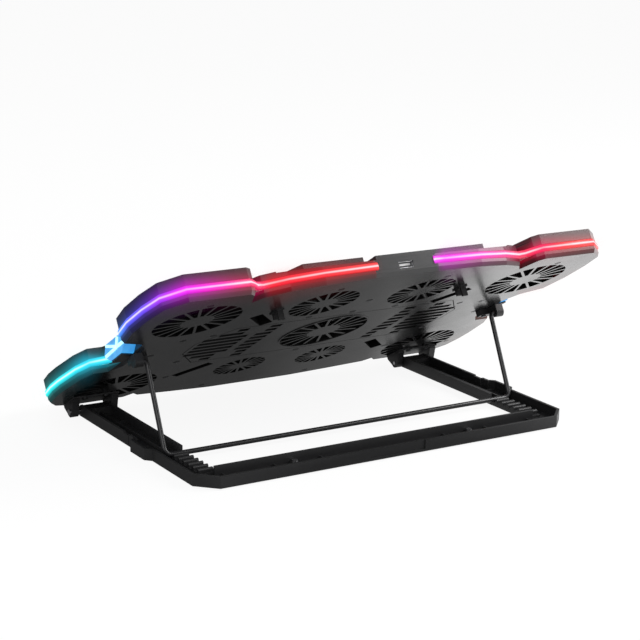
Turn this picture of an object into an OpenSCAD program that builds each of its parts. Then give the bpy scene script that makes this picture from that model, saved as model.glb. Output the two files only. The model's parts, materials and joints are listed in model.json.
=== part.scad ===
// Laptop cooling pad: a lit nine-fan deck on a folding stand with a wire bail.
// X runs across the pad, the user sits on the -Y side, Z is up, z = 0 is the table.
// The origin is under the middle of the box around the whole pad as it stands at rest.

/* [Deck] */
// Tilt of the deck above the table at rest
tilt = 31.3; // [22:0.1:34]
// Height of the raised corner lobes above the underside
deck_h = 20.6; // [19:0.1:24]
// Thickness of the deck skins
skin = 2; // [1.6:0.1:2.4]
// Thickness of the side walls of the deck
rim = 2.4; // [2:0.1:3]
// Slope width of the bevel around the bottom edge
bevel = 1.6; // [1:0.2:3]
// Height of the light strips
strip_h = 6.2; // [4:0.1:7]

/* [Fans] */
// Radius of the grilles of the four corner fans
corner_fan_r = 35; // [30:0.5:36]
// Radius of the grilles of the two rear middle fans
rear_fan_r = 28.8; // [24:0.2:30]
// Radius of the grille of the centre fan
centre_fan_r = 37.5; // [32:0.5:39]
// Radius of the grilles of the two small front fans
front_fan_r = 23; // [18:0.5:25]
// Radial bars in each grille
spokes = 18; // [12:1:24]
// Width of one grille bar
spoke_w = 2.2; // [1.4:0.1:3]
// Blades on each rotor
blades = 7; // [5:1:9]

/* [Base frame] */
// Outer width of the base
base_w = 350; // [346:1:360]
// Distance from the hinge axis to the rear face of the base
base_d = 214; // [210:1:220]
// Height of the base channel
base_h = 9.5; // [9:0.1:11]
// Width of the arms and of the rear bar
arm_w = 25.3; // [24:0.1:27]
// Length cut off each rear corner
corner_cut = 15.4; // [8:0.2:20]
// How far the rubber feet stand below the base
foot_proud = 1.2; // [0.8:0.1:2]
// Spacing of the height notches
notch_pitch = 7.7; // [7:0.1:8]
// Teeth in each notch rack
teeth = 6; // [4:1:6]

/* [Wire bail] */
// Radius of the bail wire
wire_r = 2; // [1.5:0.1:2.2]
// Distance of each leg from the middle
leg_x = 167.4; // [166:0.1:168.4]
// Distance of the bail pivot behind the deck hinge
pivot_v = 128.3; // [126:0.1:129]

/* [Hidden] */
$fn = 48;
eps = 0.01;
fit = 0.05;

// hinge between the base arms and the deck
axis_z = foot_proud + 4.2;
axis_drop = 8.9;
deck_top = deck_h - 3.6;
front_v = -23.2;
rear_v = 263;
front_y = front_v * cos(tilt) - (axis_drop + deck_top) * sin(tilt);
back_y = (rear_v - bevel) * cos(tilt) - axis_drop * sin(tilt);
axis_y = -(front_y + back_y) / 2;
pin_r = 1.5;
knuckle_r = 4.2;
lug_r = 4.3;
lug_w = 6.4;
inner_lug_x = 142.3;
outer_lug_x = 177.7;

// base channel
wall = 2.4;
base_floor = 1.6;
base_top = foot_proud + base_h;
half_w = base_w / 2;
arm_in = half_w - arm_w;
rear_y = axis_y + base_d;
bar_in = rear_y - arm_w + 0.3;
rack_y = rear_y - 79;
notch_y = rack_y + 5.2;
tooth_t = 3.2;
tooth_h = 6.8;
rack_w = 12.8;
seat_h = 3.4;
bulge = 4.7;
bulge_from = rear_y - 110;
bulge_to = rear_y - 82;
slot_y = rear_y - 123;
knuckle_len = 13;

// bail: pivot in the deck frame, crossbar in the first notch
pivot_w = -5.8;
pivot_y = axis_y + pivot_v * cos(tilt) - (axis_drop + pivot_w) * sin(tilt);
pivot_z = axis_z + pivot_v * sin(tilt) + (axis_drop + pivot_w) * cos(tilt);
bar_z = foot_proud + seat_h + 0.1 + wire_r;
bail_len = norm([notch_y - pivot_y, bar_z - pivot_z]);
bail_angle = atan2(bar_z - pivot_z, notch_y - pivot_y);
bend_r = 6;
eye_bend_r = 4;
clip_x = 86.8;
clip_v = pivot_v + bail_len;
bracket_in = leg_x + 4.1;
bracket_out = 178.8;
bracket_foot = 5;
bracket_w = bracket_out - bracket_in;
bracket_screw_x = bracket_in - 4.5;
bracket_screw_v = pivot_v - 10.2;
hinge_screw_x = [inner_lug_x + 11.5, outer_lug_x - 5];
hinge_screw_v = 11;
hinge_plate_t = 1.2;

// deck outline, right half, counter-clockwise from the front middle to the rear middle
half_outline = [
  [41, front_v], [80.8, -17.9], [116, -12.3], [121.8, -6], [127.6, -12.9],
  [180, -12.9], [193.3, -8], [202.2, 4.4], [205, 23.2], [205, 41], [201.6, 71.8],
  [195.6, 87.3], [182.2, 87.3], [174.6, 98.6], [174.6, 141.4], [183.6, 156],
  [201.8, 165.3], [206.6, 192.6], [206.6, 222], [203, 246], [188, 260],
  [136, 260], [130.6, 255.6], [124.8, 239.8], [119.2, 247.7], [100.5, 255.6],
  [72.5, 260.6], [29, rear_v]];
function flip(p) = [for (i = [len(p) - 1:-1:0]) [-p[i][0], p[i][1]]];
outline = concat(half_outline, flip(half_outline));

// raised corner lobes of the top, right side
rear_lobe = [[174.6, 141.4], [183.6, 156], [201.8, 165.3], [206.6, 192.6], [206.6, 222],
  [203, 246], [188, 260], [136, 260], [130.6, 255.6], [118, 215], [140, 160]];
front_lobe = [[127.6, -12.9], [180, -12.9], [193.3, -8], [202.2, 4.4], [205, 23.2], [205, 41],
  [201.6, 71.8], [195.6, 87.3], [182.2, 87.3], [174.6, 98.6], [142, 82], [124, 30]];
waist_x = 174.6;

// inward normal of the edge a-b, and the outline moved in by d
function edge_normal(a, b) = [a[1] - b[1], b[0] - a[0]] / norm(b - a);
function miter(m, n) = (m + n) / (1 + m * n);
function inset(p, d) = [for (i = [0:len(p) - 1])
  let (a = p[(i + len(p) - 1) % len(p)], b = p[i], c = p[(i + 1) % len(p)])
  b + d * miter(edge_normal(a, b), edge_normal(b, c))];

// heights inside the deck
strip_lo = 8.9 - strip_h / 2;
strip_hi = 8.9 + strip_h / 2;
bevel_h = 2 * bevel;
cavity = rim + 1.2;
shoulder_h = 13.8;
shoulder_turn = 12;
strip_proud = 0.4;
usb_w = 13.2;
usb_h = 5.4;
usb_mid = 7.9;
usb_gap = 26;
front_gap = 3.5;

// fans: name order is fixed, each is [u, v, radius]
fan_at = [[155.3, 202.4, corner_fan_r], [46.2, 207.7, rear_fan_r], [0, 122.3, centre_fan_r],
  [40.7, 42, front_fan_r], [152.3, 30.3, corner_fan_r]];
hub_ratio = 0.38;
cup_ratio = 0.34;
duct_t = 1.2;
rotor_lo = 4.5;
rotor_hi = 11.6;
shaft_r = 1;
motor_fit = 0.03;

// louvres between the fans
louvre_pitch = 9.45;
louvre_w = 6.2;
louvre_top = 159.8;

// screws that hold the two covers together
lobe_screws = [[162, 241], [190, 21.6]];
screw_spots = concat(lobe_screws, [[49.6, 242.3], [41.5, 172.9], [144, 151], [119, 154.6],
  [158, 118.4], [121, 86.8], [110, 39], [53, -10.5]]);
centre_screws = [[0, 200.7], [0, 172.7], [0, 71.5]];
all_screws = concat(screw_spots, flip(screw_spots), centre_screws);
screw_r = 1.2;
head_r = 2.3;
head_h = 1;

// pockets on the underside
pocket_l = 35;
pocket_w = 10.5;
pocket_d = 7;
pocket_x = 90.6;
pocket_turn = 40;

// front stoppers and controls
stop_x = 82;
stop_w = 44;
stop_len = 20;
stop_t = 3;
stop_v = 3;
stop_pin_r = 0.9;
panel_v = 9;
button_x = 24;
button_r = 4;
pad_t = 0.6;

module on_deck() {
  translate([0, axis_y, axis_z]) rotate([tilt, 0, 0]) translate([0, 0, axis_drop]) children();
}

module both_sides() {
  children();
  mirror([1, 0, 0]) children();
}

module side(s) {
  if (s > 0) children();
  else mirror([1, 0, 0]) children();
}

function at_height(p, z) = [for (q = p) [q[0], q[1], z]];

// straight-sided solid between two convex outlines at two heights
module taper(lower, upper, z0, z1) {
  n = len(lower);
  sides = [for (i = [0:n - 1]) [i, i + n, (i + 1) % n + n, (i + 1) % n]];
  polyhedron(concat(at_height(lower, z0), at_height(upper, z1)),
    concat([[for (i = [0:n - 1]) i]], [[for (i = [n - 1:-1:0]) i + n]], sides));
}

// closed rim with a bevelled lower outer edge
module bevelled_ring(p, deep, z1) {
  n = len(p);
  faces = [for (i = [0:n - 1], k = [0:3])
    [i + k * n, i + (k + 1) % 4 * n, (i + 1) % n + (k + 1) % 4 * n, (i + 1) % n + k * n]];
  polyhedron(concat(at_height(inset(p, bevel), 0), at_height(p, z1),
    at_height(inset(p, deep), z1), at_height(inset(p, deep), 0)), faces);
}

module slab(p, z0, z1) {
  translate([0, 0, z0]) linear_extrude(z1 - z0) polygon(p);
}

module ring_wall(outer, inner, z0, z1) {
  translate([0, 0, z0]) linear_extrude(z1 - z0) difference() {
    polygon(outer);
    polygon(inner);
  }
}

module x_rod(r, x0, x1) {
  translate([x0, 0, 0]) rotate([0, 90, 0]) cylinder(r = r, h = x1 - x0);
}

module round_bar(size, h) {
  r = size[1] / 2;
  run = size[0] / 2 - r;
  for (s = [-1, 1]) translate([s * run, 0, 0]) cylinder(r = r, h = h);
  translate([-run, -r, 0]) cube([2 * run, 2 * r, h]);
}

// ---------------------------------------------------------------- base frame

module base_plan(grow) {
  o = half_w + grow;
  i = arm_in - grow;
  cut = corner_cut + grow * 0.6;
  polygon([[i, axis_y], [o, axis_y], [o, rear_y + grow - cut], [o - cut, rear_y + grow],
    [cut - o, rear_y + grow], [-o, rear_y + grow - cut], [-o, axis_y], [-i, axis_y],
    [-i, bar_in - grow], [i, bar_in - grow]]);
}

module bulge_plan(grow) {
  polygon([[half_w - 6, bulge_from - 4 - grow], [half_w, bulge_from - 4 - grow],
    [half_w + bulge + grow, bulge_from - grow], [half_w + bulge + grow, bulge_to - 4 + grow],
    [half_w, bulge_to + 1 + grow], [half_w - 6, bulge_to + 1 + grow]]);
}

module knuckle() {
  translate([0, axis_y, axis_z]) x_rod(knuckle_r, arm_in, half_w);
  translate([arm_in, axis_y, foot_proud]) cube([arm_w, knuckle_len, base_h - 0.6]);
}

module rack() {
  translate([arm_in, rack_y, foot_proud]) cube([rack_w, bar_in - rack_y, seat_h]);
  for (i = [0:teeth - 1]) {
    y = rack_y + 9.6 + i * notch_pitch;
    translate([arm_in, y - tooth_t / 2, foot_proud]) cube([rack_w, tooth_t, tooth_h - tooth_t / 2]);
    translate([0, y, foot_proud + tooth_h - tooth_t / 2]) x_rod(tooth_t / 2, arm_in, arm_in + rack_w);
  }
}

module arm_ribs() {
  rib_x = arm_in + rack_w - 1.4;
  translate([rib_x, axis_y + 6, foot_proud]) cube([1.4, rack_y - axis_y - 6, 5.2]);
  for (y = [177, 142, 107]) translate([arm_in + 1, rear_y - y, foot_proud]) cube([arm_w - 2, 1.2, 3.3]);
}

module bar_ribs() {
  for (x = [58, 100, 145]) translate([x, bar_in + 1, foot_proud]) cube([1.4, arm_w - 2.5, 3.3]);
  translate([83.5, rear_y - 20, foot_proud]) cylinder(r = 3.4, h = seat_h);
}

module base_frame() color([0.13, 0.13, 0.14]) {
  difference() {
    union() {
      translate([0, 0, foot_proud]) linear_extrude(base_h) base_plan(0);
      both_sides() translate([0, 0, foot_proud]) linear_extrude(base_h) bulge_plan(0);
    }
    difference() {
      union() {
        translate([0, 0, foot_proud + base_floor]) linear_extrude(base_h) base_plan(-wall);
        both_sides() translate([0, 0, foot_proud + base_floor]) linear_extrude(base_h)
          bulge_plan(-wall);
        both_sides() translate([arm_in - 1, rack_y, foot_proud + base_floor])
          cube([rack_w, bar_in - rack_y, base_h]);
      }
      both_sides() knuckle();
      both_sides() rack();
      both_sides() arm_ribs();
      both_sides() bar_ribs();
    }
    // hinge pin bores
    both_sides() translate([0, axis_y, axis_z]) x_rod(pin_r + fit, arm_in - 1, half_w + 1);
    // slot and lowered stretch in each outer wall
    both_sides() translate([half_w - wall - 1, slot_y, foot_proud + base_floor])
      cube([wall + 2, 1, base_h]);
    both_sides() translate([half_w - wall - 1, slot_y - 9.6, base_top - 1]) cube([wall + 2, 9.8, 2]);
    // finger recess in the rear face
    translate([-usb_gap, rear_y - 1, foot_proud + 2.2]) cube([2 * usb_gap, 2, base_h]);
    // screw holes and foot pockets
    both_sides() translate([83.5, rear_y - 20, foot_proud - 1]) cylinder(r = screw_r + fit, h = 9);
    both_sides() foot_pad(fit, 0.5);
  }
  both_sides() difference() {
    knuckle_nose();
    translate([0, axis_y, axis_z]) x_rod(pin_r + fit, arm_in - 1, half_w + 1);
  }
}

// rounded end of each arm in front of the hinge axis
module knuckle_nose() {
  translate([0, axis_y, axis_z]) intersection() {
    x_rod(knuckle_r, arm_in, half_w);
    translate([arm_in, -knuckle_r, -knuckle_r]) cube([arm_w, knuckle_r, 2 * knuckle_r]);
  }
}

module foot_pad(grow, up) {
  translate([120, rear_y - 12, 0]) round_bar([34 + grow, 12 + grow], foot_proud + up);
  translate([half_w - arm_w / 2, rear_y - 191, 0]) rotate([0, 0, 90])
    round_bar([34 + grow, 12 + grow], foot_proud + up);
}

module base_feet() color([0.08, 0.08, 0.08]) both_sides() foot_pad(0, 0.5 - eps);

module base_screws() color("silver") both_sides() translate([83.5, rear_y - 20, foot_proud + 0.4]) {
  cylinder(r = screw_r, h = seat_h);
  translate([0, 0, seat_h - 0.4 + eps]) cylinder(r = head_r, h = 1.2);
}

// ---------------------------------------------------------------- deck hinge

module hinge_pins() color("silver") both_sides() translate([0, axis_y, axis_z]) {
  x_rod(pin_r, inner_lug_x - 0.5, outer_lug_x + lug_w + 0.2);
  x_rod(2.6, outer_lug_x + lug_w + 0.1, outer_lug_x + lug_w + 1.1);
}

module lug(x) {
  translate([x, 0, 0]) rotate([90, 0, 90]) linear_extrude(lug_w) difference() {
    union() {
      polygon([[-9, -eps], [11, -eps], [11, -2.5], [4, -axis_drop - 1.2], [-4, -axis_drop - 1.2],
        [-9, -2.5]]);
      translate([0, -axis_drop]) circle(r = lug_r);
    }
    translate([0, -axis_drop]) circle(r = pin_r + fit);
  }
}

module hinge_bracket() {
  difference() {
    translate([inner_lug_x, -7, -hinge_plate_t])
      cube([outer_lug_x - inner_lug_x + lug_w, 21, hinge_plate_t - eps]);
    for (x = hinge_screw_x) translate([x, hinge_screw_v, -3]) cylinder(r = screw_r + fit, h = 9);
  }
  lug(inner_lug_x);
  lug(outer_lug_x);
}

module hinge_bracket_left() color([0.11, 0.11, 0.12]) on_deck() side(-1) hinge_bracket();
module hinge_bracket_right() color([0.11, 0.11, 0.12]) on_deck() side(1) hinge_bracket();

// ---------------------------------------------------------------- wire bail

module bail_half() {
  // crossbar, elbow, leg, upper elbow and pivot stub, all in the plane of the bail
  translate([0, bail_len, 0]) x_rod(wire_r, -eps, leg_x - bend_r);
  translate([leg_x - bend_r, bail_len - bend_r, 0]) rotate_extrude(angle = 90)
    translate([bend_r, 0]) circle(r = wire_r);
  translate([leg_x, eye_bend_r, 0]) rotate([-90, 0, 0])
    cylinder(r = wire_r, h = bail_len - bend_r - eye_bend_r);
  translate([leg_x + eye_bend_r, eye_bend_r, 0]) rotate([0, 0, 180]) rotate_extrude(angle = 90)
    translate([eye_bend_r, 0]) circle(r = wire_r);
  x_rod(wire_r, leg_x + eye_bend_r, bracket_out - 1.2);
}

module wire_bail() color([0.16, 0.16, 0.17])
  translate([0, pivot_y, pivot_z]) rotate([bail_angle, 0, 0]) both_sides() bail_half();

module bail_bracket() {
  difference() {
    union() {
      // cheek around the pivot with a round lower edge, and a foot in front of the leg
      translate([0, pivot_v, pivot_w]) x_rod(4.4, bracket_in, bracket_out);
      translate([bracket_in, pivot_v - 7.5, pivot_w]) cube([bracket_w, 11.9, -pivot_w - eps]);
      translate([bracket_in - 9, pivot_v - 14, -bracket_foot]) cube([bracket_w + 7, 7.5, bracket_foot - eps]);
    }
    translate([0, pivot_v, pivot_w]) x_rod(wire_r + fit, bracket_in - 9, bracket_out - 1);
    translate([bracket_screw_x, bracket_screw_v, -9]) cylinder(r = screw_r + fit, h = 12);
  }
}

module bail_bracket_left() color([0.11, 0.11, 0.12]) on_deck() side(-1) bail_bracket();
module bail_bracket_right() color([0.11, 0.11, 0.12]) on_deck() side(1) bail_bracket();

module bracket_spot() {
  both_sides() translate([bracket_screw_x, bracket_screw_v, 0]) children();
}

module hinge_spots() {
  both_sides() for (x = hinge_screw_x) translate([x, hinge_screw_v, 0]) children();
}

module bracket_screws() color("dimgray") on_deck() {
  bracket_spot() translate([0, 0, -bracket_foot - 0.1]) cylinder(r = screw_r, h = bracket_foot + 3);
  bracket_spot() translate([0, 0, -bracket_foot - 1]) cylinder(r = head_r, h = 1 - eps);
  hinge_spots() translate([0, 0, -1.4]) cylinder(r = screw_r, h = 3.2);
  hinge_spots() translate([0, 0, -2.2]) cylinder(r = head_r, h = 0.9);
}

// ---------------------------------------------------------------- fans

module at_fans() {
  for (f = fan_at) {
    translate([f[0], f[1], 0]) grille_of(f[2]);
    if (f[0] > 0) translate([-f[0], f[1], 0]) grille_of(f[2]);
  }
}

// the open sectors between the radial bars of one grille
module grille_of(r) {
  difference() {
    circle(r = r, $fn = 64);
    circle(r = r * hub_ratio);
    for (i = [0:spokes / 2 - 1]) rotate(90 + i * 360 / spokes) square([2 * r + 2, spoke_w], center = true);
  }
}

module ducts() {
  for (f = fan_at, s = [1, -1]) if (f[0] > 0 || s > 0) translate([s * f[0], f[1], skin - eps])
    difference() {
      cylinder(r = f[2] + 1 + duct_t, h = 9, $fn = 64);
      translate([0, 0, -1]) cylinder(r = f[2] + 1, h = 11, $fn = 64);
    }
}

module rotor(f) {
  r = f[2] - 1.5;
  cup = f[2] * cup_ratio;
  translate([f[0], f[1], 0]) {
    translate([0, 0, rotor_hi - 1.2]) cylinder(r = cup, h = 1.2);
    difference() {
      translate([0, 0, rotor_lo]) cylinder(r = cup, h = rotor_hi - rotor_lo);
      translate([0, 0, rotor_lo - 1]) cylinder(r = cup - 1, h = rotor_hi - rotor_lo);
    }
    translate([0, 0, rotor_lo - 0.5]) cylinder(r = shaft_r, h = rotor_hi - rotor_lo);
    for (i = [0:blades - 1]) rotate([0, 0, i * 360 / blades])
      translate([cup - 0.6, 0, (rotor_lo + rotor_hi) / 2]) rotate([38, 0, 0])
        translate([0, -4.2, -0.6]) cube([r - cup, 8.4, 1.2]);
  }
}

module motor(f) {
  cup = f[2] * cup_ratio;
  translate([f[0], f[1], skin + eps]) difference() {
    union() {
      cylinder(r = cup - 1.6, h = 1.2);
      cylinder(r = 2.4, h = 7.5);
      translate([0, 0, 2.6]) cylinder(r = cup - 2.2, h = 3.4);
    }
    translate([0, 0, 1]) cylinder(r = shaft_r + motor_fit, h = 8);
  }
}

function mirrored(f) = [-f[0], f[1], f[2]];
module fan_rotor(f) color([0.12, 0.12, 0.13]) on_deck() rotor(f);
module fan_motor(f) color([0.3, 0.3, 0.32]) on_deck() motor(f);

module rotor_rear_left() { fan_rotor(mirrored(fan_at[0])); }
module rotor_rear_right() { fan_rotor(fan_at[0]); }
module rotor_mid_left() { fan_rotor(mirrored(fan_at[1])); }
module rotor_mid_right() { fan_rotor(fan_at[1]); }
module rotor_centre() { fan_rotor(fan_at[2]); }
module rotor_small_left() { fan_rotor(mirrored(fan_at[3])); }
module rotor_small_right() { fan_rotor(fan_at[3]); }
module rotor_front_left() { fan_rotor(mirrored(fan_at[4])); }
module rotor_front_right() { fan_rotor(fan_at[4]); }
module motor_rear_left() { fan_motor(mirrored(fan_at[0])); }
module motor_rear_right() { fan_motor(fan_at[0]); }
module motor_mid_left() { fan_motor(mirrored(fan_at[1])); }
module motor_mid_right() { fan_motor(fan_at[1]); }
module motor_centre() { fan_motor(fan_at[2]); }
module motor_small_left() { fan_motor(mirrored(fan_at[3])); }
module motor_small_right() { fan_motor(fan_at[3]); }
module motor_front_left() { fan_motor(mirrored(fan_at[4])); }
module motor_front_right() { fan_motor(fan_at[4]); }

// ---------------------------------------------------------------- bottom cover

// rows of slots: an inner strip and an outer hexagon on each side
module louvres() {
  for (k = [0:8]) {
    v = louvre_top - k * louvre_pitch;
    short = k < 2 || k > 6;
    reach = 122 - 6.5 * max(0, abs(k - 4) - 2) - (short ? 6 * (abs(k - 4) - 2) - 2 : 0);
    translate([59.5, v - louvre_w / 2]) square([short ? 10.2 : 15.6, louvre_w]);
    translate([short ? 89.5 : 82, v - louvre_w / 2]) square([reach - (short ? 89.5 : 82), louvre_w]);
  }
}

module pocket_spots() {
  for (p = [[183.5, -1], [52.2, 1]]) translate([pocket_x, p[0], 0]) rotate([0, 0, p[1] * pocket_turn])
    children();
}

module pocket_block(grow, z0, z1) {
  both_sides() pocket_spots() translate([-pocket_w / 2 - grow, -pocket_l / 2 - grow, z0])
    cube([pocket_w + 2 * grow, pocket_l + 2 * grow, z1 - z0]);
}

module groove(a, b) {
  d = b - a;
  translate([a[0], a[1], -eps]) rotate([0, 0, atan2(d[1], d[0])]) translate([0, -0.4, 0])
    cube([norm(d), 0.8, 0.5]);
}

module panel_grooves() {
  both_sides() {
    groove([0, 166.8], [104, 166.8]);
    groove([104, 166.8], [126, 135]);
    groove([126, 135], [126, 110]);
    groove([126, 110], [104, 78.2]);
    groove([0, 78.2], [104, 78.2]);
  }
}

module cover_floor() {
  difference() {
    union() {
      bevelled_ring(outline, bevel + 4, bevel_h);
      slab(inset(outline, bevel + 1), 0, skin);
      ring_wall(outline, inset(outline, cavity), bevel_h - eps, strip_lo - fit);
    }
    translate([0, 0, -1]) linear_extrude(skin + 2) at_fans();
    translate([0, 0, -1]) linear_extrude(skin + 2) both_sides() louvres();
    panel_grooves();
  }
}

module bottom_cover() color([0.22, 0.22, 0.23]) on_deck() {
  difference() {
    union() {
      cover_floor();
      ducts();
      pocket_block(1.2, skin - eps, skin + pocket_d);
      // raised lip around the centre grille
      translate([0, fan_at[2][1], -0.6]) difference() {
        cylinder(r = centre_fan_r + 1.6, h = 0.7, $fn = 64);
        translate([0, 0, -1]) cylinder(r = centre_fan_r + 0.2, h = 3, $fn = 64);
      }
    }
    pocket_block(0, -1, skin + pocket_d - 1.2);
    for (s = all_screws) translate([s[0], s[1], 0]) {
      translate([0, 0, -1]) cylinder(r = screw_r + fit, h = skin + 2);
      translate([0, 0, -1]) cylinder(r = head_r + 0.4, h = 2);
      translate([0, 0, skin]) cylinder(r = 3, h = 12);
    }
    bracket_spot() translate([0, 0, -1]) cylinder(r = screw_r + fit, h = 4.2);
    hinge_spots() translate([0, 0, -1]) cylinder(r = screw_r + fit, h = 4.2);
    usb_opening();
    both_sides() translate([clip_x - 3, clip_v - 2.1, -1]) cube([6, 4.2, skin + 2]);
  }
}

module usb_opening() {
  translate([-usb_w / 2 - fit, 240, usb_mid - usb_h / 2 - fit]) cube([usb_w + 2 * fit, 40, usb_h + 2 * fit]);
}

// open forks that hold the crossbar when the bail lies against the deck
module bail_clips() color([0.1, 0.1, 0.1]) on_deck() both_sides() translate([clip_x, clip_v, 0]) {
  translate([-3.5, -6.2, -1]) cube([7, 12.4, 1 - eps]);
  translate([-2.9, -2, -1.5]) cube([5.8, 4, skin + 1]);
  translate([-2.5, wire_r + 0.8, pivot_w - 2.6]) cube([5, 2.2, 2.6 - pivot_w - 0.5]);
  translate([-2.5, -wire_r - 2.4, pivot_w]) cube([5, 1.6, -pivot_w - 0.5]);
}

// ---------------------------------------------------------------- top cover

module lower_rim_zones() {
  // where the top cover's wall comes down to the bottom cover
  translate([-front_gap - 200, -30, 0]) cube([400 + 2 * front_gap, 30 + front_gap, 30]);
  translate([-usb_gap, 250, 0]) cube([2 * usb_gap, 20, 30]);
  both_sides() translate([165, 92, 0]) cube([16, 56, 30]);
}

module screw_bosses(spots, top) {
  for (s = spots) translate([s[0], s[1], skin + fit]) difference() {
    cylinder(r = 2.6, h = top - skin - 1);
    translate([0, 0, -1]) cylinder(r = screw_r + fit, h = 8);
  }
}

module lobes(grow, z0, z1) {
  both_sides() {
    slab(inset(rear_lobe, grow), z0, z1);
    slab(inset(front_lobe, grow), z0, z1);
  }
}

mesh_area = [[-52, 64], [52, 64], [112, 92], [112, 152], [100, 176], [58, 236], [-58, 236],
  [-100, 176], [-112, 152], [-112, 92]];

// sloping shoulder along the rear edge between the lobes
module rear_slope() {
  translate([-108, rear_v, shoulder_h]) rotate([-shoulder_turn, 0, 0])
    translate([0, -30, 0]) cube([216, 45, 20]);
}

// the roof is thick below the shoulder
module thick_roof() {
  translate([-112, 237, strip_hi + 0.7]) cube([224, 40, 20]);
}

// block around the power port and a pair of raised wedges beside it
module rear_ridges() {
  translate([0.4 - usb_gap, 241, strip_hi + 1.6])
    cube([2 * usb_gap - 0.8, rear_v - 241.3, deck_top - 1.2 - strip_hi]);
  both_sides() translate([0, 0, shoulder_h - 1]) linear_extrude(deck_h - shoulder_h + 0.8)
    polygon([[27.5, 239], [90, 239], [84, 252.6], [30, 252.6]]);
}

module stop_pocket(grow) {
  both_sides() translate([stop_x - stop_w / 2 - grow, stop_v - 3 - grow, deck_top - stop_t - grow])
    cube([stop_w + 2 * grow, stop_len + 3 + 2 * grow, 20]);
}

module top_cover() color([0.2, 0.2, 0.21]) on_deck() {
  difference() {
    union() {
      difference() {
        union() {
          difference() {
            slab(outline, strip_hi + fit, deck_top);
            rear_slope();
          }
          intersection() {
            slab(outline, strip_lo, strip_hi + 1);
            lower_rim_zones();
          }
          lobes(0, deck_top - eps, deck_h);
        }
        difference() {
          slab(inset(outline, rim), 0, deck_top - skin);
          thick_roof();
        }
        lobes(rim + 1, deck_top - skin - 1, deck_h - skin);
      }
      rear_ridges();
      screw_bosses(all_screws, deck_top);
      both_sides() screw_bosses(lobe_screws, deck_h);
      // trays below the stoppers and the control panel
      both_sides() translate([stop_x - stop_w / 2 - 2, stop_v - 5, deck_top - stop_t - 2])
        cube([stop_w + 4, stop_len + 7, stop_t + 1]);
    }
    stop_pocket(0.5);
    stop_bores();
    slab(mesh_area, deck_top - 0.8, deck_top + 1);
    difference() {
      slab(inset(mesh_area, 5), 0, deck_top + 1);
      mesh_ribs();
    }
    usb_opening();
    translate([0, panel_v, deck_top - 1]) round_plate(34, 14, 2);
    translate([-14, panel_v - 4, deck_top - 5]) cube([28, 8, 8]);
    both_sides() translate([button_x, panel_v, 0]) cylinder(r = button_r + 0.2, h = 40);
  }
}

// bars that carry the plate across the opening
module mesh_ribs() {
  translate([-4, 60, deck_top - 3.6]) cube([8, 180, 2.8]);
  translate([-110, 168.9, deck_top - 3.6]) cube([220, 8, 2.8]);
}

module round_plate(w, d, h) {
  translate([-w / 2, -d / 2, 0]) cube([w, d, h]);
}

module stop_bores() {
  both_sides() translate([0, stop_v, deck_top - stop_t / 2])
    x_rod(stop_pin_r + fit, stop_x - stop_w / 2 - 1.6, stop_x + stop_w / 2 + 1.6);
}

module cover_screws() color("dimgray") on_deck() for (s = all_screws) translate([s[0], s[1], 0]) {
  translate([0, 0, 0.5]) cylinder(r = screw_r, h = 7);
  translate([0, 0, eps]) cylinder(r = head_r, h = head_h - 2 * eps);
}

// perforated steel plate over the fans
module mesh_plate() color([0.1, 0.1, 0.11]) on_deck() {
  p = inset(mesh_area, 0.3);
  cell = 13.5;
  translate([0, 0, deck_top - 0.8 + eps]) linear_extrude(0.7) difference() {
    polygon(p);
    intersection() {
      polygon(inset(mesh_area, 7));
      for (j = [0:12], i = [-9:9])
        translate([(i + (j % 2) / 2) * cell, 76 + j * cell * 0.9]) circle(d = cell - 2, $fn = 6);
    }
  }
}

module grip_pads() color([0.07, 0.07, 0.07]) on_deck() both_sides() {
  translate([166, 236, deck_h]) round_bar([52, 9], pad_t);
  translate([178, 8, deck_h]) round_bar([34, 9], pad_t);
}

// ---------------------------------------------------------------- lights

module light_ring(z0, z1) {
  ring_wall(inset(outline, -strip_proud), inset(outline, rim - 0.2), z0, z1);
}

module strip_zone(zone) {
  if (zone == "front") translate([168, front_gap + fit, 0]) cube([48, 92 - front_gap - 2 * fit, 30]);
  if (zone == "rear") translate([124.5, 148 + fit, 0]) cube([95, 130, 30]);
  if (zone == "centre") translate([usb_gap + fit, 240, 0]) cube([124.5 - usb_gap - 2 * fit, 40, 30]);
}

module strip(zone) {
  intersection() {
    light_ring(strip_lo, strip_hi);
    strip_zone(zone);
  }
}

module strip_front_left() color([0.3, 0.9, 1]) on_deck() side(-1) strip("front");
module strip_front_right() color([0.3, 0.9, 1]) on_deck() side(1) strip("front");
module strip_rear_left() color([1, 0.2, 0.3]) on_deck() side(-1) strip("rear");
module strip_rear_right() color([0.6, 0.3, 1]) on_deck() side(1) strip("rear");
module strip_centre_left() color([1, 0.2, 0.8]) on_deck() side(-1) strip("centre");
module strip_centre_right() color([1, 0.2, 0.2]) on_deck() side(1) strip("centre");

// faceted light body on each flank between the lobes
module side_light() {
  wide = [[102, 2.7], [125, 2.7], [135, 9.3], [125, 17], [103, 17], [99.6, 9.3]];
  narrow = [[107.3, 2.9], [130.7, 2.9], [141.2, 9.3], [130.7, 16.9], [105, 16.9], [98, 9.3]];
  multmatrix([[0, 0, 1, waist_x + fit], [1, 0, 0, 0], [0, 1, 0, 0], [0, 0, 0, 1]])
    taper(wide, narrow, 0, 12.6);
}

module side_light_left() color([0.4, 0.7, 1]) on_deck() side(-1) side_light();
module side_light_right() color([0.4, 0.7, 1]) on_deck() side(1) side_light();

// flexible light tape behind the strips
module led_tape(s) {
  side(s) intersection() {
    ring_wall(inset(outline, rim + 0.3), inset(outline, rim + 0.7), strip_lo + 0.6, strip_hi - 0.6);
    translate([usb_gap + 1, front_gap + 1, 0]) cube([200, 280, 30]);
  }
}

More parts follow.
